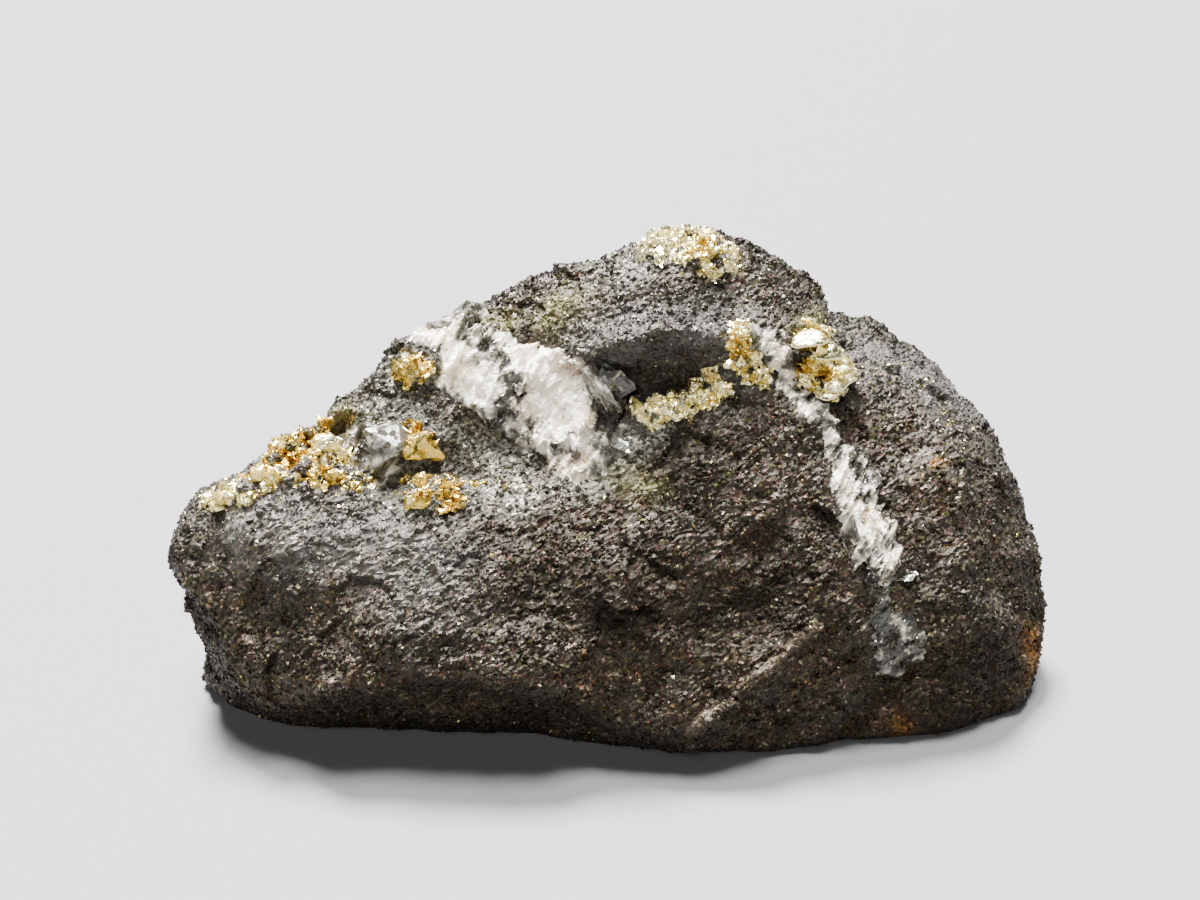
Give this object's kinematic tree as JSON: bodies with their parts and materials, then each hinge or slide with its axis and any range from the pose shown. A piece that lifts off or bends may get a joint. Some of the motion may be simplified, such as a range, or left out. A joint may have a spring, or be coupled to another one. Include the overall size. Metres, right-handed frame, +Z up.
{
  "type": "pyrite with magnetite",
  "caption": "Palm-sized lump of dark granular magnetite with milky quartz veins and clusters of brassy pyrite crystals, resting on a flat broken base.",
  "frame": {"origin": "on the surface that the lump rests on, under the middle of its bounding box", "axes": "+X along the lump's length, to the right seen from the front; +Y to the back; +Z up"},
  "size_m": [0.0704, 0.0402, 0.0345],
  "materials": {
    "magnetite": "dark grey, sugary broken surface with a sub-metallic glitter, browner on the front",
    "quartz": "milky white to greyish glassy quartz, broken, slightly see-through at the edges",
    "pyrite": "brassy metallic crystals, pale on top and deeper gold with brown tarnish in the hollows"
  },
  "bodies": {
    "root": {"magnetite_rock": "magnetite", "quartz_saddle": "quartz", "quartz_vein_right": "quartz", "quartz_patch_left": "quartz", "pyrite_summit": "pyrite", "pyrite_left_band": "pyrite", "pyrite_nugget_left": "pyrite", "pyrite_low_saddle": "pyrite", "pyrite_quartz_corner": "pyrite", "pyrite_centre_band": "pyrite", "pyrite_nugget_right": "pyrite"}
  },
  "joints": []
}
